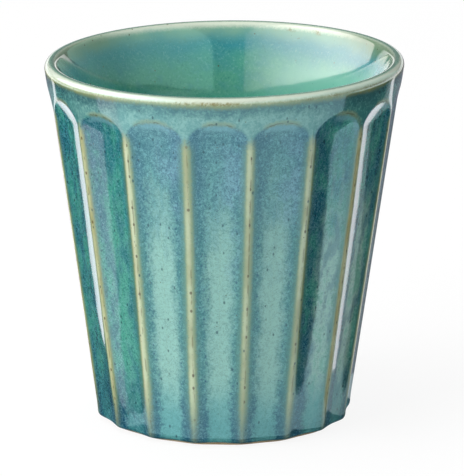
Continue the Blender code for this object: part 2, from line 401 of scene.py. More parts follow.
# %% Shader helper
class Wire:
    """An output socket that behaves like a number in an expression."""

    def __init__(self, tree, socket):
        self.tree, self.socket = tree, socket

    def math(self, operation, first, second):
        """The Math node of an operation on two values or wires."""
        return self.tree.node("ShaderNodeMath", {"operation": operation}, {0: first, 1: second})

    def __add__(self, other):
        return self.math("ADD", self, other)

    def __radd__(self, other):
        return self.math("ADD", other, self)

    def __sub__(self, other):
        return self.math("SUBTRACT", self, other)

    def __rsub__(self, other):
        return self.math("SUBTRACT", other, self)

    def __mul__(self, other):
        return self.math("MULTIPLY", self, other)

    def __rmul__(self, other):
        return self.math("MULTIPLY", other, self)

    def __truediv__(self, other):
        return self.math("DIVIDE", self, other)

    def __pow__(self, other):
        return self.math("POWER", self, other)

    def __abs__(self):
        return self.math("ABSOLUTE", self, 0.0)


class Tree:
    """A shader tree, with one method that adds any node and short names for the usual ones."""

    def __init__(self, owner):
        owner.use_nodes = True
        self.owner, self.nodes, self.links = owner, owner.node_tree.nodes, owner.node_tree.links
        self.nodes.clear()

    def node(self, kind, settings=None, sockets=None, out=0):
        """Adds a node: its settings first, then a value or a link for each named socket."""
        made = self.nodes.new(kind)
        for label, value in (settings or {}).items():
            setattr(made, label, value)
        for label, value in (sockets or {}).items():
            known = {socket.identifier: socket for socket in made.inputs}
            socket = known[label] if label in known else made.inputs[label]
            if isinstance(value, Wire):
                self.links.new(value.socket, socket)
            else:
                socket.default_value = value
        if not made.outputs:
            return None
        known = {socket.identifier: socket for socket in made.outputs}
        return Wire(self, known[out] if out in known else made.outputs[out])

    def millimetres(self, stretch=(1, 1, 1)):
        """Object coordinates in millimetres, with each axis scaled by stretch."""
        place = self.node("ShaderNodeTexCoord", out="Object")
        scale = tuple(1000.0 * part for part in stretch)
        return self.node("ShaderNodeVectorMath", {"operation": "MULTIPLY"}, {0: place, 1: scale})

    def attribute(self, label):
        """A number that the mesh keeps for each point."""
        return self.node("ShaderNodeAttribute", {"attribute_name": label}, out="Fac")

    def noise(self, place, scale, detail=2.0, roughness=0.5, distortion=0.0):
        """Smooth noise about 0.5, with scale in waves to a millimetre."""
        values = {"Vector": place, "Scale": scale, "Detail": detail, "Roughness": roughness}
        values["Distortion"] = distortion
        return self.node("ShaderNodeTexNoise", {}, values)

    def smooth(self, value, low, high):
        """Smooth step: 0 at low, 1 at high, with no corner at either end."""
        limits = {"Value": value, "From Min": low, "From Max": high}
        return self.node("ShaderNodeMapRange", {"interpolation_type": "SMOOTHSTEP"}, limits)

    def mix(self, factor, first, second):
        """First colour where factor is 0, second where it is 1."""
        values = {"Factor_Float": factor, "A_Color": first, "B_Color": second}
        return self.node("ShaderNodeMix", {"data_type": "RGBA"}, values, out="Result_Color")


def paint(red, green, blue):
    """A colour as a screen shows it, 0 to 255, turned into the linear values that shaders use."""
    shown = np.array([red, green, blue]) / 255
    linear = np.where(shown > 0.04045, ((shown + 0.055) / 1.055) ** 2.4, shown / 12.92)
    return (*linear.tolist(), 1.0)


def stir(noise, amount):
    """Noise about nought, (noise - 0.5) * amount, which moves a distance or a height about."""
    return (noise - 0.5) * amount


def bumped(tree, relief, distance):
    """A normal that leans with a relief, whose full height is a distance in metres."""
    return tree.node("ShaderNodeBump", {}, {"Strength": 1.0, "Distance": distance, "Height": relief})


def glossy_finish(tree, colour, roughness, normal, bend, tint, coat):
    """Closes a glaze: coloured glass under a clear coat of a given weight.

    The glass bends light by its own index, and the tint colours what it mirrors head on.
    """
    values = {"Base Color": colour, "Roughness": roughness, "Normal": normal, "IOR": bend}
    values.update({"Specular Tint": tint, "Coat Weight": coat, "Coat Roughness": 0.03, "Coat IOR": 1.5})
    shader = tree.node("ShaderNodeBsdfPrincipled", {}, values)
    tree.node("ShaderNodeOutputMaterial", {}, {"Surface": shader})
    return tree.owner


# %% [markdown]
# ## The glaze on the lip
#
# Glaze runs off a sharp lip while it melts, so the clay shows through there as a pale cream
# band. Both coats meet on the crown, so both take their lip colour from this one function,
# which depends only on the place and on the distance from the crown.

# %% Lip colours
CREAM = paint(176, 182, 146)
TAN = paint(152, 150, 106)
IVORY = paint(200, 209, 192)
OLIVE = paint(130, 138, 86)
CROWN_GREEN = paint(104, 140, 122)
RIM_GREEN = paint(120, 164, 142)
BROWN = paint(74, 62, 34)
STAIN = paint(122, 110, 54)
FRONT_OF_LIP = (-3, -47, 95)


def scattered(tree, settings, values):
    """Distance to scattered points, and a number from 0 to 1 that each point has for itself."""
    distance = tree.node("ShaderNodeTexVoronoi", settings, values, out="Distance")
    pick = tree.node("ShaderNodeTexVoronoi", settings, values, out="Color")
    return distance, tree.node("ShaderNodeSeparateColor", {}, {"Color": pick}, out="Red")


def specks(tree, place, scale, share, width):
    """Small spots: the distance to scattered points, kept only for a share of the points."""
    distance, luck = scattered(tree, {}, {"Vector": place, "Scale": scale})
    spot = 1 - tree.smooth(distance, width * 0.5, width)
    return spot * tree.smooth(luck, 1 - share, 1 - share + 0.05)


def worms(tree, place, scale, width):
    """Thin curled lines, as crystals leave in a melt: where a twisted noise crosses its middle."""
    return 1 - tree.smooth(abs(tree.noise(place, scale, 1.0, 0.5, 1.4) - 0.5), 0.0, width)


def lip_colour(tree, place, crown, fine, below):
    """Green glass on the crown, ivory beside it, another colour below, with brown stains between."""
    colour = tree.mix(tree.smooth(crown + stir(fine, 0.4), 0.25, 1.1), CROWN_GREEN, IVORY)
    colour = tree.mix(tree.smooth(crown + stir(fine, 1.2), 1.5, 3.2), colour, below)
    ends = {0: place, 1: FRONT_OF_LIP}
    from_front = tree.node("ShaderNodeVectorMath", {"operation": "DISTANCE"}, ends, out="Value")
    wanted = tree.noise(place, 0.14, 3.0) + (1 - tree.smooth(from_front, 6, 15)) * 0.16
    stain = tree.smooth(wanted, 0.57, 0.7) * tree.smooth(fine, 0.38, 0.6)
    edge = tree.smooth(crown, 1.7, 2.3) * (1 - tree.smooth(crown, 2.9, 3.6))
    colour = tree.mix(stain * edge * 0.8, colour, STAIN)
    return tree.mix(specks(tree, place, 0.4, 0.3, 0.085) * 0.7, colour, BROWN)


# %% [markdown]
# ## What the outer glaze goes by
#
# On the cup the glaze pools pale aqua in the middle of each flute, runs blue beside the ridges,
# breaks to cream on them and turns to a mottled slate under the arches. The flutes at both sides
# ran to a deep teal instead. A melt follows edges, so each colour is placed by how far a spot is
# from the ridge, from the arch's edge and from the crown. Those distances are attributes of the
# mesh, which is surer than looking for edges in the shader. Noise moves the distances about, so
# no border is straight.

# %% Distances and noises of the outer glaze
SLATE_BAND = (46, 78)
SHADE_BAND = (74, 86)
FOOT_BAND = (5.0, 22)
ARCH_BAND = (79.4, 85.4)
RIDGE_TOP = (81.9, 86.9)
RIDGE_FOOT = (2.0, 17.0)


class Melt:
    """The distances in millimetres, the shares and the noises that the glaze's layers use."""

    def __init__(self, tree):
        self.tree, self.place = tree, tree.millimetres()
        self.height = tree.node("ShaderNodeSeparateXYZ", {}, {0: self.place}, out="Z")
        self.gap, self.arch = tree.attribute("ridge_gap"), tree.attribute("arch_gap")
        self.side, self.depth = tree.attribute("pool_side"), tree.attribute("pool_depth")
        self.crown, self.ridge = tree.attribute("from_crown"), tree.attribute("ridge_id")
        self.teal = tree.attribute("teal_share")
        self.fine = tree.noise(self.place, 1.2, 3.0, 0.6, 0.9)
        self.cloud = tree.noise(self.place, 0.12, 2.0)
        self.patch = tree.noise(self.place, 0.3, 3.0)
        self.streak = tree.noise(tree.millimetres((1, 1, 0.14)), 0.5, 3.0)
        self.grain = self.fine * 0.7 + tree.noise(self.place, 2.4, 2.0, 0.6, 0.5) * 0.3
        self.light_grain = tree.smooth(self.grain, 0.48, 0.64)
        self.across = 1 - abs(self.side) + stir(self.patch, 0.34) + stir(self.streak, 0.4)
        self.arches = tree.smooth(self.height, *ARCH_BAND)


print(f"slate sets in from {SLATE_BAND[0]} to {SLATE_BAND[1]} mm, arches from {ARCH_BAND[0]} mm up")

# %% [markdown]
# ## The glaze in the flutes
#
# Thick glaze is milky and pale, thin glaze is blue, and the upper wall, from which much has run,
# keeps the slate. In the teal flutes the run stayed clear, with drifts of ink blue and leaf green.
# Grains, curled threads and dark blots are the crystals that grow as the melt cools, and there
# are fewest of them in the milky pools. One layer is mixed over the other, as the melt does it.

# %% Flute colours
POOL_AQUA, BAND_BLUE = paint(147, 182, 168), paint(26, 84, 92)
SEA_GREEN, BOTTLE_GREEN = paint(80, 160, 142), paint(34, 118, 114)
SLATE_DARK, SLATE, SLATE_LIT = paint(44, 84, 106), paint(68, 120, 124), paint(98, 128, 150)
SLATE_SHADE = paint(34, 76, 104)
DEEP_TEAL, TEAL, TURQUOISE = paint(0, 89, 92), paint(38, 128, 118), paint(0, 118, 124)
INK_BLUE, LEAF_GREEN = paint(0, 66, 98), paint(64, 148, 122)
FOOT_BLUE, FOOT_AQUA, CORNER_SHADE_BLUE = paint(4, 66, 84), paint(70, 143, 144), paint(8, 58, 88)
GRAIN_DARK, GRAIN_LIGHT = paint(6, 62, 78), paint(122, 170, 172)
THREAD_DARK, THREAD_LIGHT = paint(4, 62, 76), paint(136, 188, 196)
BLOT_BLUE = paint(10, 54, 84)


def slate_colour(melt):
    """Slate, darker by the ridges, with painted light that pales its right side and painted shade under the
    arch, or deep teal by the teal share.
    """
    tree, side, cloud, streak = melt.tree, melt.side, melt.cloud, melt.streak
    slate = tree.mix(tree.smooth(melt.across + (cloud - 0.5), 0.2, 0.7), SLATE_DARK, SLATE)
    # Painted light: the right side of each flute faces the light from the left, so its slate is made paler.
    lean = tree.smooth(side, -0.4, 0.5) * tree.smooth(cloud + stir(streak, 0.5), 0.38, 0.6)
    slate = tree.mix(lean * 0.7, slate, SLATE_LIT)
    shade = tree.smooth(melt.height + stir(cloud, 12), *SHADE_BAND)
    slate = tree.mix(shade * 0.4, slate, SLATE_SHADE)
    deep = tree.mix(tree.smooth(melt.across * 0.5 + stir(streak, 2.0), 0.1, 0.7), DEEP_TEAL, TEAL)
    return tree.mix(tree.smooth(melt.teal * (1 + side * 0.7), 0.12, 0.6) * 0.9, slate, deep)


def teal_run(melt, colour):
    """Turquoise along one side of the teal flutes, and drifts of ink blue and leaf green in them."""
    tree = melt.tree
    in_teal = tree.smooth(melt.teal, 0.3, 0.6)
    vivid = tree.smooth(melt.side + stir(melt.streak, 0.8), 0.35, 0.75) * in_teal
    colour = tree.mix(vivid * 0.6, colour, TURQUOISE)
    drift = tree.noise(tree.millimetres((1, 1, 0.4)), 0.3, 3.0) + stir(melt.fine, 0.4)
    colour = tree.mix(tree.smooth(drift, 0.48, 0.62) * in_teal * 0.5, colour, INK_BLUE)
    return tree.mix((1 - tree.smooth(drift, 0.36, 0.5)) * in_teal * 0.5, colour, LEAF_GREEN)


def crystals(melt, colour, rich):
    """Dark and light grains, curled threads, and dark blots beside the ridges, by how rich it is."""
    tree = melt.tree
    dark_grain = 1 - tree.smooth(melt.grain, 0.36, 0.53)
    colour = tree.mix(dark_grain * rich * 0.5, colour, GRAIN_DARK)
    colour = tree.mix(melt.light_grain * rich * 0.28, colour, GRAIN_LIGHT)
    colour = tree.mix(worms(tree, melt.place, 0.8, 0.05) * rich * 0.25, colour, THREAD_LIGHT)
    curls = worms(tree, tree.millimetres((-1, 1, 1)), 0.7, 0.045)
    colour = tree.mix(curls * (0.2 + rich * 0.3), colour, THREAD_DARK)
    beside = 1 - tree.smooth(melt.across + stir(melt.fine, 0.4), 0.3, 0.75)
    blots = specks(tree, tree.millimetres((1, 1, 0.7)), 0.95, 0.6, 0.3) * beside
    return tree.mix(blots * 0.75, colour, BLOT_BLUE)


def flute_colour(melt):
    """Pool over band, slate over both higher up, blue green glass at the foot with painted shade in its
    corners, crystals over all.
    """
    tree, fine, cloud = melt.tree, melt.fine, melt.cloud
    pool = tree.smooth(melt.across + stir(fine, 0.26), 0.24, 0.80) * melt.depth
    colour = tree.mix(pool, BAND_BLUE, POOL_AQUA)
    clear = tree.mix(tree.smooth(melt.teal, 0.65, 0.95), SEA_GREEN, BOTTLE_GREEN)
    colour = tree.mix((1 - melt.depth) * 0.9, colour, clear)
    high = tree.smooth(melt.height + stir(cloud, 30) + stir(melt.streak, 30), *SLATE_BAND)
    colour = teal_run(melt, tree.mix(high * 0.92, colour, slate_colour(melt)))
    foot = 1 - tree.smooth(melt.height + stir(cloud, 8) + stir(fine, 4), *FOOT_BAND)
    colour = tree.mix(foot * 0.8, colour, tree.mix(pool, FOOT_BLUE, FOOT_AQUA))
    # Painted shade: dark blue in the corners of the foot, beside the ridges.
    corner = foot * (1 - tree.smooth(melt.across + stir(fine, 0.5), 0.28, 0.62))
    colour = tree.mix(corner * 0.8, colour, CORNER_SHADE_BLUE)
    return crystals(melt, colour, 1 - pool * (1 - high) * 0.8)


# %% [markdown]
# ## The glaze on arches and ridges
#
# Between the arches the wall is uncut and its glaze is even. Each arch has a pale crescent inside,
# where glaze hangs, and an edge that breaks to tan with a brown crease in places. A ridge breaks
# to cream on top, with an olive halo where the thin glaze begins, and holds a row of pinholes and
# a broken brown seam. One noise along each ridge makes it wider here and browner there.

# %% Arch and ridge colours
LAND_DARK, LAND_LIGHT = paint(90, 136, 134), paint(118, 160, 152)
TEAL_LAND_DARK, TEAL_LAND_LIGHT = paint(20, 92, 92), paint(58, 132, 126)
LIP_SHADE_DARK, LIP_SHADE_LIGHT = paint(38, 78, 86), paint(60, 100, 102)
CRESCENT_BLUE, ARCH_TAN, ARCH_BROWN = paint(104, 148, 158), paint(124, 136, 104), paint(70, 72, 54)
HALO_OLIVE, FLANK_OLIVE = paint(80, 116, 96), paint(138, 144, 98)
SEAM_BROWN, PINHOLE_BROWN = paint(104, 86, 46), paint(80, 58, 30)
RIDGES_APART = 37.7  # a step along the noise that gives every ridge its own stretch of it


def arch_layers(melt, colour):
    """Plain glaze outside the arches, painted shade in a band under the lip, crescent, edge and crease
    inside.
    """
    tree, fine, patch, arch = melt.tree, melt.fine, melt.patch, melt.arch
    land = (1 - tree.smooth(arch + stir(fine, 0.8), -0.7, 0.5)) * melt.arches
    plain = tree.mix(tree.smooth(melt.grain + stir(patch, 0.6), 0.34, 0.68), LAND_DARK, LAND_LIGHT)
    teal_land = tree.mix(melt.light_grain, TEAL_LAND_DARK, TEAL_LAND_LIGHT)
    plain = tree.mix(tree.smooth(melt.teal, 0.5, 1.0) * 0.7, plain, teal_land)
    colour = tree.mix(land * 0.94, colour, plain)
    # Painted shade: a dark band just under the lip, with a ragged lower edge.
    reach = melt.crown + stir(melt.cloud, 5) + stir(fine, 3) + stir(patch, 3)
    lip_shade = tree.smooth(melt.crown, 2.4, 3.4) * (1 - tree.smooth(reach, 3.0, 8.0))
    lip_shade_colour = tree.mix(melt.light_grain, LIP_SHADE_DARK, LIP_SHADE_LIGHT)
    colour = tree.mix(lip_shade * 0.85, colour, lip_shade_colour)
    crest = tree.smooth(1 - abs(melt.side) + stir(patch, 0.6), 0.3, 0.7) * melt.arches
    crescent = tree.smooth(arch, 0.0, 0.7) * (1 - tree.smooth(arch + stir(patch, 1.6), 1.0, 2.4))
    colour = tree.mix(crescent * crest * 0.6, colour, CRESCENT_BLUE)
    edge = (1 - tree.smooth(abs(arch + 0.3 + stir(fine, 1.2)), 0.1, 1.1)) * crest
    colour = tree.mix(edge * 0.6, colour, ARCH_TAN)
    crease = (1 - tree.smooth(abs(arch + 0.1 + stir(fine, 0.9)), 0.02, 0.32)) * crest
    return tree.mix(crease * tree.smooth(patch, 0.45, 0.56) * 0.7, colour, ARCH_BROWN)


def ridge_layers(melt, colour):
    """Halo, flank and cream top by the distance to the ridge, then the seam and the pinholes on it.

    The side is the distance with a sign, and a pinhole is round where the square of the way along
    plus the square of the way across is small.
    """
    tree, fine, height, gap = melt.tree, melt.fine, melt.height, melt.gap
    below = 1 - tree.smooth(height + stir(fine, 3), *RIDGE_TOP)
    below = below * (0.2 + tree.smooth(height, *RIDGE_FOOT) * 0.8)
    sided = gap * (1 - 2 * tree.smooth(melt.side, -0.01, 0.01))
    rise = {"W": height * 0.03 + melt.ridge * RIDGES_APART, "Scale": 1.0, "Detail": 2.0}
    vary = tree.node("ShaderNodeTexNoise", {"noise_dimensions": "1D"}, rise)
    halo = (1 - tree.smooth(gap + stir(fine, 1.2) + stir(melt.streak, 1.6), 0.7, 3.0)) * below
    colour = tree.mix(halo * 0.75, colour, HALO_OLIVE)
    flank = (1 - tree.smooth(abs(sided - 0.15) + stir(fine, 0.7), 0.4, 1.7)) * below
    colour = tree.mix(flank * 0.85, colour, FLANK_OLIVE)
    top = (1 - tree.smooth(gap + stir(fine, 0.5) + stir(vary, 0.8), 0.1, 1.0)) * below
    broken = tree.mix(tree.smooth(vary + stir(melt.patch, 0.3), 0.4, 0.7), CREAM, TAN)
    colour = tree.mix(top * 0.95, colour, broken)
    dash = tree.smooth(tree.noise(tree.millimetres((1, 1, 0.3)), 0.8, 2.0), 0.5, 0.6)
    seam = (1 - tree.smooth(abs(sided - 0.4) + stir(fine, 0.3), 0.08, 0.3)) * dash * below
    colour = tree.mix(seam * 0.55, colour, SEAM_BROWN)
    row = {"W": height * 0.22 + melt.ridge * RIDGES_APART, "Scale": 1.0}
    along, luck = scattered(tree, {"voronoi_dimensions": "1D"}, row)
    round_dot = (along * 3.2) ** 2 + (sided - 0.3) ** 2 + stir(fine, 0.1)
    pinhole = (1 - tree.smooth(round_dot, 0.03, 0.16)) * tree.smooth(luck, 0.5, 0.7) * below
    return tree.mix(pinhole * 0.8, colour, PINHOLE_BROWN)


# %% [markdown]
# ## The outer glaze put together
#
# Lip, specks and a dark line above the foot come over the flutes, arches and ridges. The specks
# are iron from the clay, brown on the lip and bluer in thick glass. The gloss is a deep glass that
# mirrors light with a blue green tint, and a relief of a tenth of a millimetre bends the
# reflections as a real, slightly wavy glaze does.

# %% Outer glaze finish
DASH_BLUE, DOT_BLUE, FOOT_LINE = paint(12, 48, 60), paint(20, 62, 70), paint(6, 52, 58)
WAVE_DEPTH = 0.0001
GLASS_TINT = (0.36, 0.86, 0.97, 1)


def outer_glaze():
    """Flutes, arches, ridges, lip, specks and foot line, laid over each other."""
    tree = Tree(bpy.data.materials.new("reactive_teal_glaze"))
    melt = Melt(tree)
    place, fine = melt.place, melt.fine
    colour = ridge_layers(melt, arch_layers(melt, flute_colour(melt)))
    lip = 1 - tree.smooth(melt.crown + stir(melt.cloud, 1.4) + stir(fine, 1.4), 2.3, 4.4)
    colour = tree.mix(lip, colour, lip_colour(tree, place, melt.crown, fine, OLIVE))
    colour = tree.mix(specks(tree, place, 0.4, 0.3, 0.085) * 0.75, colour, BROWN)
    dashes = specks(tree, tree.millimetres((1, 1, 0.6)), 0.55, 0.4, 0.2)
    colour = tree.mix(dashes * (1 - lip) * 0.75, colour, DASH_BLUE)
    dots = specks(tree, place, 1.2, 0.35, 0.22)
    colour = tree.mix(dots * (1 - lip) * 0.4, colour, DOT_BLUE)
    line = 1 - tree.smooth(melt.height + stir(fine, 0.8), 0.9, 2.1)
    colour = tree.mix(line * 0.75, colour, FOOT_LINE)
    relief = tree.noise(place, 0.1, 1.0) + tree.noise(place, 0.35, 2.0) * 0.22 + fine * 0.08
    normal = bumped(tree, relief, WAVE_DEPTH)
    return glossy_finish(tree, colour, 0.03 + fine * 0.05, normal, 2.0, GLASS_TINT, 0.35)


outer_finish = outer_glaze()
print("outer glaze:", len(outer_finish.node_tree.nodes), "nodes")

# %% [markdown]
# ## The outer coat
#
# The coat is a thin skin with a front and a back. The front follows the fluted clay at the
# coat's thickness, swells a little into a roll above the foot, where running glaze collects,
# and feathers out on the clay. The back lies just off the clay.

# %% Outer coat
BACK = 0.04
BEAD_SWELL, BEAD_PLACE, BEAD_WIDTH = 0.16, 1.5, 0.8
FEATHER_LENGTH, FEATHER_EDGE = 0.9, 0.05


def length_down(radius, height):
    """Distance from the first row along each column: the running sum of the steps between rows."""
    steps = np.hypot(np.diff(radius, axis=0), np.diff(height, axis=0))
    return np.concatenate([0 * radius[:1], np.cumsum(steps, axis=0)])


def raised(profile, step):
    """A profile's points moved along their normals: radius + step * out, height + step * up."""
    radius, height, out, up = profile
    return radius + step * out, height + step * up


clay = rolled(outer_share, outer_turn, LIP, HEEL)
clay_radius, clay_height = clay[:2]
scoop = softened(flute_cut(angle, clay_radius, clay_height))
from_line = np.radians(outer_turn - glaze_line) * HEEL_BALL + np.maximum(clay_height - wall_foot, 0)
bead = BEAD_SWELL * np.exp(-((from_line - BEAD_PLACE) / BEAD_WIDTH) ** 2)
feather = np.clip(from_line / FEATHER_LENGTH, 0, 1) ** 0.5
front_radius, front_height = raised(clay, (COAT + bead - FEATHER_EDGE) * feather + FEATHER_EDGE)
back_radius, back_height = raised(clay, BACK)
front_rings = fired(front_radius - scoop, front_height)
back_rings = fired(back_radius - scoop, back_height)[hidden_rows][::-1]

ridge_gap, ridge_id = ridge_distance(angle, clay_radius, clay_height)
skin_values = {"ridge_gap": ridge_gap, "ridge_id": ridge_id}
skin_values["from_crown"] = length_down(*raised(clay, COAT))
skin_values.update(across_flute_values(angle, clay_height))
both_sides = {}
for label, value in skin_values.items():
    both_sides[label] = np.concatenate([value, value[hidden_rows][::-1]])
coat_rings = np.concatenate([front_rings, back_rings])
outer_coat = ringed_mesh("outer_glaze_coat", coat_rings, True, both_sides)
seated(outer_coat, "outer_glaze", outer_finish)

# %% [markdown]
# ## The liner
#
# The inside is poured full of the same glaze and emptied, so it has no ridges to break on. Only
# the lip is cream. Under it comes a band of blue teal, and further down a greener one, which
# painted light makes paler on the right, where the light from the left falls on the inner wall.
# It could be one flat teal, but a soft mottle of two noises and a few specks keep it from
# looking like plastic.

# %% Liner finish
LINER_BLUE, LINER_GREEN, LINER_LIT = paint(48, 132, 142), paint(78, 154, 132), paint(110, 176, 157)
MOTTLE_BLUE, MOTTLE_LIGHT, MOTTLE_DARK = paint(56, 132, 146), paint(144, 196, 180), paint(30, 108, 112)
RIM_OLIVE, RIM_SAGE = paint(84, 118, 84), paint(112, 140, 110)
SPECK_TEAL = paint(30, 80, 80)
CLEAR_TINT = (0.9, 1.0, 1.0, 1)


def liner_glaze(name):
    """Cream at the crown, blue teal under it, green teal below with painted light on the right, a soft mottle
    and specks.
    """
    tree = Tree(bpy.data.materials.new(name))
    place = tree.millimetres()
    crown = tree.attribute("from_crown")
    fine = tree.noise(place, 1.5, 3.0, 0.65, 0.8)
    cloud = tree.noise(place, 0.13, 2.0)
    patch = tree.noise(place, 0.3, 3.0)
    across = tree.node("ShaderNodeSeparateXYZ", {}, {0: place}, out="X") + stir(cloud, 12)
    colour = tree.mix(tree.smooth(crown + stir(cloud, 10), 5, 16), LINER_BLUE, LINER_GREEN)
    colour = tree.mix(tree.smooth(patch + stir(fine, 0.6), 0.46, 0.66) * 0.3, colour, MOTTLE_BLUE)
    colour = tree.mix(tree.smooth(fine, 0.52, 0.72) * 0.28, colour, MOTTLE_LIGHT)
    colour = tree.mix((1 - tree.smooth(fine, 0.3, 0.48)) * 0.4, colour, MOTTLE_DARK)
    # Painted light: the inner wall turns paler on the right, where the light from the left falls.
    lit_right = tree.smooth(across, 4, 24) * tree.smooth(crown, 8, 16)
    colour = tree.mix(lit_right * 0.9, colour, LINER_LIT)
    inner = tree.smooth(crown + stir(fine, 0.6), 0.3, 1.4)
    rim = lip_colour(tree, place, crown, fine, RIM_GREEN)
    rim = tree.mix(tree.smooth(across, 24, 40) * inner * 0.85, rim, RIM_OLIVE)
    rim = tree.mix(tree.smooth(across, -24, -40) * inner * 0.85, rim, RIM_SAGE)
    lip = 1 - tree.smooth(crown + stir(cloud, 4) + stir(fine, 1.6), 1.6, 7.6)
    colour = tree.mix(lip, colour, rim)
    colour = tree.mix(specks(tree, place, 0.42, 0.4, 0.13) * 0.75, colour, BROWN)
    colour = tree.mix(specks(tree, place, 0.7, 0.3, 0.13) * 0.4, colour, SPECK_TEAL)
    relief = tree.noise(place, 0.09, 1.0) + tree.noise(place, 0.35, 2.0) * 0.16 + fine * 0.04
    normal = bumped(tree, relief, WAVE_DEPTH)
    return glossy_finish(tree, colour, 0.06 + fine * 0.08, normal, 1.6, CLEAR_TINT, 1.0)


liner_finish = liner_glaze("teal_liner_glaze")
print("liner glaze:", len(liner_finish.node_tree.nodes), "nodes")

# %% Liner coat
liner_lip = np.concatenate([[90.0, 90.3], np.linspace(95.0, FLARE_TURN, 12)])
flare_turn = np.linspace(FLARE_TURN, LINER_TURN, 16)[1:]
liner_wall = np.linspace(0, 1, 26)[1:]
cove_turn = np.linspace(LINER_TURN, 90.0, 20)[1:]
floor_share = np.linspace(0, 1, 14)[1:-1]
lip_part = rolled(0 * liner_lip, liner_lip, LIP, LIP)
flare_part = rolled(0 * flare_turn, flare_turn, FLARE, FLARE)
wall_part = rolled(liner_wall, 0 * liner_wall + LINER_TURN, FLARE, COVE)
cove_part = rolled(0 * cove_turn, cove_turn, COVE, COVE)
floor_part = rolled(floor_share, 0 * floor_share + 90, COVE, (0, COVE[1], COVE[2]))
bowl_parts = zip(lip_part, flare_part, wall_part, cove_part, floor_part)
bowl = [np.concatenate(part)[:, None] + 0 * angle for part in bowl_parts]
bowl_radius, bowl_height = bowl[:2]
bowl_last = bowl_radius.shape[0] - 1
bowl_back = np.concatenate([[0], np.arange(3, bowl_last, 4), [bowl_last]])
bowl_crown = length_down(*raised(bowl, COAT))
liner_front = fired(*raised(bowl, COAT))
liner_back = fired(*raised(bowl, BACK))[bowl_back]
liner_rings = np.concatenate([liner_front[::-1], liner_back])
liner_values = {"from_crown": np.concatenate([bowl_crown[::-1], bowl_crown[bowl_back]])}
liner_coat = ringed_mesh("liner_glaze_coat", liner_rings, False, liner_values)
seated(liner_coat, "liner_glaze", liner_finish)

# %% [markdown]
# ## The clay
#
# Most of the clay hides under glass. What shows is the foot: a narrow line of tan stoneware
# under the glaze in front, and the whole foot ring from below. Stoneware is sandy, with iron
# specks and a faint warm flush beside the glaze.

# %% Clay finish
CLAY_TAN, CLAY_FLUSH = paint(168, 142, 108), paint(182, 158, 124)
SAND_LIGHT, SAND_DARK, IRON = paint(204, 184, 152), paint(120, 94, 64), paint(64, 46, 32)
SAND_DEPTH = 0.00006


def bare_clay():
    """Sandy tan from two noises, dark iron specks, and a rough relief of grains."""
    tree = Tree(bpy.data.materials.new("bare_stoneware"))
    place = tree.millimetres()
    sand = tree.noise(place, 3.0, 4.0, 0.7)
    cloud = tree.noise(place, 0.2, 2.0)
    colour = tree.mix(tree.smooth(cloud, 0.35, 0.65), CLAY_TAN, CLAY_FLUSH)
    colour = tree.mix(tree.smooth(sand, 0.45, 0.75) * 0.4, colour, SAND_LIGHT)
    colour = tree.mix((1 - tree.smooth(sand, 0.25, 0.45)) * 0.5, colour, SAND_DARK)
    colour = tree.mix(specks(tree, place, 0.9, 0.2, 0.16) * 0.8, colour, IRON)
    normal = bumped(tree, sand, SAND_DEPTH)
    values = {"Base Color": colour, "Roughness": 0.72 + sand * 0.2, "Normal": normal, "IOR": 1.5}
    shader = tree.node("ShaderNodeBsdfPrincipled", {}, values)
    tree.node("ShaderNodeOutputMaterial", {}, {"Surface": shader})
    return tree.owner


clay_finish = bare_clay()
print("clay:", len(clay_finish.node_tree.nodes), "nodes")

# %% Clay body
RING_EDGE = 0.3
heel_more = np.linspace(0, 1, 9)[1:, None]
heel_turn = glaze_line + heel_more * (-90 - glaze_line)
heel_radius, heel_height, _, _ = rolled(1.0, heel_turn, HEEL, HEEL)
heel_radius = heel_radius - softened(flute_cut(angle, heel_radius, heel_height))
ring_flat = np.linspace(HEEL[0], FOOT_RING_INSIDE + RING_EDGE, 6)[1:, None] + 0 * angle
ring_inside = FOOT_RING_INSIDE + 0 * angle
fillet_turn = np.linspace(0, 90, 9)[:, None] + 0 * angle
fillet = (FOOT_RING_INSIDE - RECESS_FILLET, RECESS_DEPTH - RECESS_FILLET, RECESS_FILLET)
fillet_radius, fillet_height, _, _ = rolled(0.0, fillet_turn, fillet, fillet)
recess_radius = np.linspace(fillet[0], 0, 12)[1:-1, None] + 0 * angle

inside = (bowl_radius[bowl_back][::-1], bowl_height[bowl_back][::-1])
outside = ((clay_radius - scoop)[hidden_rows][1:], clay_height[hidden_rows][1:])
heel_part = (heel_radius, heel_height)
ring_part = (np.concatenate([ring_flat, ring_inside]),
             np.concatenate([0 * ring_flat, 0 * ring_inside + RING_EDGE]))
fillet_part = (fillet_radius, fillet_height)
recess_part = (recess_radius, 0 * recess_radius + RECESS_DEPTH)
body_parts = zip(inside, outside, heel_part, ring_part, fillet_part, recess_part)
body_radius, body_height = (np.concatenate(part) for part in body_parts)
clay_body = ringed_mesh("stoneware_clay", fired(body_radius, body_height), False, {})
seated(clay_body, "stoneware_body", clay_finish)

# %% [markdown]
# ## The recess coat
#
# Under the cup, inside the foot ring, a coat of the same glaze keeps the base from weeping. It
# is a thin disc that hangs from the recess and rounds off at its edge.

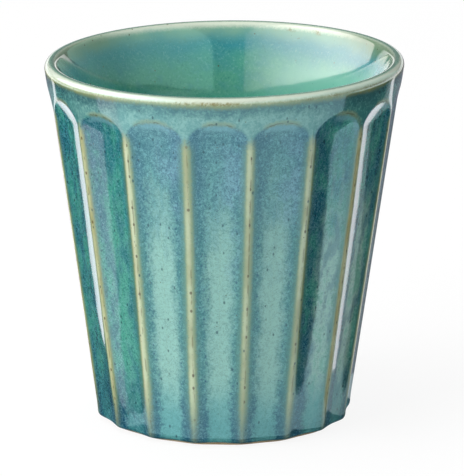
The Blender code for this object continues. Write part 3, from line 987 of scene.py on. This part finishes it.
# %% Recess coat
DISC_INSET, DISC_GAP, DISC_BALL = 0.6, 0.05, 0.24
FAR_FROM_CROWN = 20
recess_finish = liner_glaze("recess_teal_glaze")
disc_top = RECESS_DEPTH - DISC_GAP
disc_turn = np.linspace(90, -90, 13)[:, None] + 0 * angle
disc_edge = (fillet[0] - DISC_INSET - DISC_BALL, disc_top - DISC_BALL, DISC_BALL)
edge_radius, edge_height, _, _ = rolled(0.0, disc_turn, disc_edge, disc_edge)
disc_in = np.linspace(disc_edge[0], 0, 12)[1:-1, None] + 0 * angle
disc_radius = np.concatenate([disc_in[::-1], edge_radius, disc_in])
disc_low = disc_top - 2 * DISC_BALL
disc_height = np.concatenate([0 * disc_in + disc_top, edge_height, 0 * disc_in + disc_low])
disc_rings = fired(disc_radius, disc_height)
disc_values = {"from_crown": 0 * disc_radius + FAR_FROM_CROWN}
recess_coat = ringed_mesh("recess_glaze_coat", disc_rings, False, disc_values)
seated(recess_coat, "recess_glaze", recess_finish)

# %% [markdown]
# ## The studio
#
# The cup stands on a plain white floor. Its glaze mirrors what lies round it, and because the
# wall leans out as it rises, most of that is floor. So dark, grey, pale and white cards lie there,
# a softbox stands on each side, and a grey hood spans it all. They show only in the gloss, and
# their outlines follow the edges of the reflections in the photograph. A lamp could make such a
# reflection too, but a card can have any outline and doesn't change the light. The floor keeps
# the cup's shadow and throws none itself, so that a lamp below reaches the underside.

# %% Floor and world
WHITE = (1, 1, 1, 1)
FLOOR_GREY = (0.86, 0.86, 0.86, 1)
FLOOR_HALF = 3.0
SEEN_SHARE, LESS_IN_GLOSS = 0.9, 0.55
LIGHT_SHARE = 0.2


def stage_mesh(name, points, faces, finish):
    """A mesh of the studio, which isn't part of the cup."""
    mesh = bpy.data.meshes.new(name)
    mesh.from_pydata(points, [], faces)
    mesh.materials.append(finish)
    made = bpy.data.objects.new(name, mesh)
    bpy.context.scene.collection.objects.link(made)
    return made


def seen_white(tree):
    """1 for rays from the camera, from a reflection or through glass, 0 for rays that light."""
    path = tree.node("ShaderNodeLightPath", out="Is Camera Ray")
    glossy = tree.node("ShaderNodeLightPath", out="Is Glossy Ray")
    clear = tree.node("ShaderNodeLightPath", out="Is Transmission Ray")
    return path.math("MAXIMUM", path, path.math("MAXIMUM", glossy, clear))


def white_floor():
    """Pale matt floor that reads white to the camera and keeps a share of the cup's shadow.

    Reflections see less of the white, and from below the floor is clear.
    """
    tree = Tree(bpy.data.materials.new("white_floor"))
    matt = tree.node("ShaderNodeBsdfDiffuse", {}, {"Color": FLOOR_GREY})
    light = tree.node("ShaderNodeEmission", {}, {"Color": WHITE, "Strength": 1.0})
    glossy = tree.node("ShaderNodeLightPath", out="Is Glossy Ray")
    share = seen_white(tree) * SEEN_SHARE - glossy * LESS_IN_GLOSS
    bright = tree.node("ShaderNodeMixShader", {}, {0: share, 1: matt, 2: light})
    behind = tree.node("ShaderNodeNewGeometry", out="Backfacing")
    clear = tree.node("ShaderNodeBsdfTransparent")
    shader = tree.node("ShaderNodeMixShader", {}, {0: behind, 1: bright, 2: clear})
    tree.node("ShaderNodeOutputMaterial", {}, {"Surface": shader})
    return tree.owner


floor_corners = [(FLOOR_HALF * x, FLOOR_HALF * y, 0) for x, y in ((-1, -1), (1, -1), (1, 1), (-1, 1))]
floor = stage_mesh("floor", floor_corners, [(0, 1, 2, 3)], white_floor())
floor.visible_shadow = False

world = bpy.data.worlds.new("studio")
bpy.context.scene.world = world
sky = Tree(world)
strength = seen_white(sky) * (1 - LIGHT_SHARE) + LIGHT_SHARE
background = sky.node("ShaderNodeBackground", {}, {"Color": WHITE, "Strength": strength})
sky.node("ShaderNodeOutputWorld", {}, {"Surface": background})
print("floor and world made")

# %% Makers of cards, softboxes and hood
HOOD_RADIUS = 3.4
CARD_STEP = 0.0001
FADE_LENGTH = 0.65


def glow(name, shade, share=None):
    """A finish that shines by itself, all over or by the share that a function gives for each spot."""
    tree = Tree(bpy.data.materials.new(name))
    colour = (*shade, 1)
    if share:
        place = tree.node("ShaderNodeTexCoord", out="Object")
        along = tree.node("ShaderNodeSeparateXYZ", {}, {0: place}, out="Y")
        colour = tree.mix(share(tree, along), (0, 0, 0, 1), colour)
    light = tree.node("ShaderNodeEmission", {}, {"Color": colour, "Strength": 1.0})
    tree.node("ShaderNodeOutputMaterial", {}, {"Surface": light})
    return tree.owner


def brightest_beside(tree, along):
    """1 / (1 + ahead^1.4), with ahead in fade lengths in front of the cup, and a fade behind it."""
    ahead = along.math("MAXIMUM", along * (-1 / FADE_LENGTH), 0.0)
    return (1 - tree.smooth(along, 0.05, 0.5) * 0.5) / (1 + ahead ** 1.4)


def dimmer_behind(tree, along):
    """1 in front of the cup, and a smooth step down to 0.6 behind it."""
    return 1 - tree.smooth(along, -0.25, 0.12) * 0.4


def reflected_only(made):
    """Hides a studio piece from everything but reflections."""
    made.visible_camera = made.visible_diffuse = made.visible_shadow = False
    made.visible_transmission = made.visible_volume_scatter = False


def card(name, corners, finish):
    """A flat card with its corners in metres."""
    reflected_only(stage_mesh(name, corners, [tuple(range(len(corners)))], finish))


def side_card(name, x, outline, finish):
    """An upright card beside the cup, with its outline as pairs of y and height."""
    card(name, [(x, y, z) for y, z in outline], finish)


def floor_card(name, outline, finish, layer=4):
    """A card that lies on the floor, with its outline as pairs of x and y, over those of lower layers."""
    card(name, [(x, y, layer * CARD_STEP) for x, y in outline], finish)


def hood(name, first, last, lowest, finish):
    """Part of a dome round the cup, from one azimuth to another and up to the zenith, in degrees."""
    azimuths, rises = np.linspace(first, last, 47), np.linspace(lowest, 90, 16)
    turn, rise = np.meshgrid(np.radians(azimuths), np.radians(rises))
    level = np.cos(rise)
    points = np.stack([np.sin(turn) * level, -np.cos(turn) * level, np.sin(rise)], axis=-1) * HOOD_RADIUS
    index = np.arange(turn.size).reshape(turn.shape)
    faces = np.stack([index[:-1, :-1], index[:-1, 1:], index[1:, 1:], index[1:, :-1]], axis=-1)
    reflected_only(stage_mesh(name, points.reshape(-1, 3).tolist(), faces.reshape(-1, 4).tolist(), finish))


# %% Dark and grey cards on the floor
black = glow("black_card", (0.012, 0.014, 0.014))
left_front = [(-0.02, -0.0225), (-0.037, -0.0246), (-0.0505, -0.026), (-0.076, -0.0284), (-0.101, -0.0296),
              (-0.195, -0.0305), (-0.36, -0.036)]
left_rear = [(-0.36, 0.40), (-0.2036, 0.193), (-0.16, 0.133), (-0.114, 0.0765), (-0.088, 0.0512),
             (-0.0708, 0.038), (-0.0565, 0.027), (-0.05, 0.037), (-0.03, 0.037), (-0.02, -0.012)]
floor_card("left_dark_card", left_front + left_rear, black)
right_front = [(0.36, -0.041), (0.21, -0.0347), (0.1927, -0.0312), (0.1584, -0.0333), (0.139, -0.033),
               (0.1227, -0.0323), (0.1093, -0.0316), (0.0968, -0.0305), (0.0873, -0.0285), (0.0753, -0.0268),
               (0.067, -0.0257), (0.0551, -0.025), (0.046, -0.0245), (0.042, -0.02), (0.036, -0.012)]
right_rear = [(0.061, 0.006), (0.099, 0.031), (0.139, 0.063), (0.187, 0.118), (0.36, 0.33)]
floor_card("right_dark_card", right_front + right_rear, black)
right_behind = [(0.36, 0.372), (0.173, 0.142), (0.124, 0.088), (0.088, 0.048), (0.0556, 0.0125)]
floor_card("right_dim_card", right_rear + right_behind, glow("dim_card", (0.4, 0.4, 0.4)))
right_near = [(0.061, 0.006), (0.0556, 0.0125), (0.046, 0.03), (0.03, 0.03), (0.03, -0.012)]
floor_card("right_near_card", right_near, glow("near_card", (0.42, 0.48, 0.5)))
right_outline = [(0.049, 0.021), (0.062, 0.047), (0.092, 0.113), (0.135, 0.17), (0.175, 0.2), (0.36, 0.4),
                 (0.36, 1.4)]
left_outline = [(-x, y) for x, y in reversed(right_outline)]
outline_grey = glow("outline_grey", (0.2, 0.2, 0.24))
floor_card("outline_card", right_outline + left_outline, outline_grey, 3)
FOOT_SHADE_RADIUS = 0.038
around = np.linspace(0, 2 * math.pi, 49)[:-1]
foot_round = [(FOOT_SHADE_RADIUS * math.cos(turn), FOOT_SHADE_RADIUS * math.sin(turn)) for turn in around]
floor_card("foot_card", foot_round, glow("foot_shade", (0.06, 0.12, 0.14)), 6)
print("dark and grey cards made")

# %% White and pale cards on the floor
FAR = 1.5
rear_edge = [(-FAR, -0.02), (-0.36, -0.02), (-0.02, 0.02), (0.02, 0.02), (0.36, -0.02), (FAR, -0.02)]
rear_white = glow("rear_white", (1.9, 1.65, 1.65))
floor_card("rear_white_card", rear_edge + [(FAR, FAR), (-FAR, FAR)], rear_white, 2)
front_edge = [(FAR, -0.02), (0.05, -0.02), (0.02, -0.006), (-0.02, -0.006), (-0.05, -0.02), (-FAR, -0.02)]
front_white = glow("front_white", (0.97, 0.97, 0.97))
floor_card("front_card", [(-FAR, -FAR), (FAR, -FAR)] + front_edge, front_white, 2)
left_pale = glow("left_pale", (1.3, 0.72, 0.82))
left_wedge = [(-0.03, -0.02), (-FAR, -0.02), (-FAR, -0.56), (-0.04, -0.028)]
floor_card("left_pale_card", left_wedge, left_pale, 3)
right_pale = glow("right_pale", (1.0, 0.97, 1.0))
right_wedge = [(0.03, -0.014), (0.04, -0.028), (FAR, -0.56), (FAR, -0.02)]
floor_card("right_pale_card", right_wedge, right_pale, 3)
print("white and pale cards made")

# %% Softboxes and hood
SOFTBOX_AWAY = 0.5
left_low = [(0.45, 0.19), (0.2, 0.195), (0.027, 0.204), (-0.141, 0.215), (-0.334, 0.234), (-1.4, 0.407),
            (-1.95, 0.5)]
left_high = [(-1.92, 1.1), (-1.84, 1.34), (-1.7, 1.46), (-1.28, 1.26), (-1.0, 1.15), (0.3, 1.15), (0.45, 0.6)]
softbox_white = glow("softbox_white", (4.05, 3.55, 3.4), brightest_beside)
side_card("left_softbox", -SOFTBOX_AWAY, left_low + left_high, softbox_white)
right_low = [(0.73, 0.2), (0.146, 0.2), (-0.087, 0.2), (-0.2, 0.222), (-0.335, 0.24), (-0.636, 0.28),
             (-2.68, 0.7)]
right_high = [(-2.7, 1.5), (-2.6, 1.72), (-2.3, 1.78), (-1.8, 1.54), (-1.19, 1.2), (-0.9, 1.05), (0.73, 1.05)]
softbox_dim = glow("softbox_dim", (0.65, 1.1, 0.98), dimmer_behind)
side_card("right_softbox", SOFTBOX_AWAY, right_low + right_high, softbox_dim)
hood_grey = glow("hood_grey", (0.12, 0.13, 0.14))
hood("front_hood", -138, 126, 2, hood_grey)
hood("back_hood", 126, 222, 8, hood_grey)
print("softboxes and hood made")

# %% [markdown]
# ## The lamps
#
# A large lamp at the front left gives most of the light. One above lights the inside, two behind
# keep the back readable, a weak one fills the right, and one below reaches the foot. The softboxes
# could light the cup too, but then a change to a reflection would change the light as well.

# %% Lamps
LAMPS = {  # place and size in metres, power in watts
    "key_left": ((-0.9, -0.7, 0.6), 1.0, 16.8),
    "fill_right": ((0.95, -0.75, 0.5), 1.0, 0.4),
    "top": ((-0.3, -0.1, 1.1), 0.7, 8.0),
    "rear_left": ((-0.8, 0.9, 0.6), 0.8, 3.0),
    "rear_right": ((0.55, 1.1, 0.6), 0.8, 5.0),
    "below": ((0.0, -0.1, -0.7), 0.8, 3.0),
}
LAMP_AIM = Vector((0, 0, 0.05))


def lamp(name, place, size, watts):
    """A square lamp that looks at the middle of the cup and doesn't show in the gloss."""
    data = bpy.data.lights.new(name, "AREA")
    data.size, data.energy = size, watts
    made = bpy.data.objects.new(name, data)
    made.location = place
    made.rotation_euler = (LAMP_AIM - Vector(place)).to_track_quat("-Z", "Y").to_euler()
    made.visible_camera = made.visible_glossy = False
    bpy.context.scene.collection.objects.link(made)


for name, (place, size, watts) in LAMPS.items():
    lamp(name, place, size, watts)
print(len(LAMPS), "lamps made")

# %% [markdown]
# ## The camera
#
# The photograph was taken with a long lens from slightly above. The distance, the height and
# the lens were worked out from the rim's and the foot's ellipses, and the small tilt is there
# in the photograph too.

# %% Camera
CAMERA_AWAY, CAMERA_HEIGHT, CAMERA_SIDE = 1.282, 0.392, math.radians(1.96)
AIM_HEIGHT, AIM_RIGHT = 0.04805, 0.00225
TILT = math.radians(-0.284)
PHOTO_HEIGHT, FOCAL_PIXELS = 476, 4985

eye = Vector((CAMERA_AWAY * math.sin(CAMERA_SIDE), -CAMERA_AWAY * math.cos(CAMERA_SIDE), CAMERA_HEIGHT))
beside = Vector((math.cos(CAMERA_SIDE), math.sin(CAMERA_SIDE), 0))
forward = (beside * AIM_RIGHT + Vector((0, 0, AIM_HEIGHT)) - eye).normalized()
right = forward.cross(Vector((0, 0, 1))).normalized()
above = right.cross(forward)
rolled_right = right * math.cos(TILT) - above * math.sin(TILT)
rolled_above = right * math.sin(TILT) + above * math.cos(TILT)
camera_data = bpy.data.cameras.new("camera")
camera_data.sensor_width = 36.0
camera_data.lens = FOCAL_PIXELS * camera_data.sensor_width / PHOTO_HEIGHT
camera_data.clip_start, camera_data.clip_end = 0.05, 20.0
camera = bpy.data.objects.new("camera", camera_data)
turned = Matrix((rolled_right, rolled_above, -forward)).transposed()
camera.matrix_world = Matrix.Translation(eye) @ turned.to_4x4()
bpy.context.scene.collection.objects.link(camera)
bpy.context.scene.camera = camera
bpy.context.scene.view_settings.view_transform = "Standard"
print(f"lens {camera_data.lens:.1f} mm")
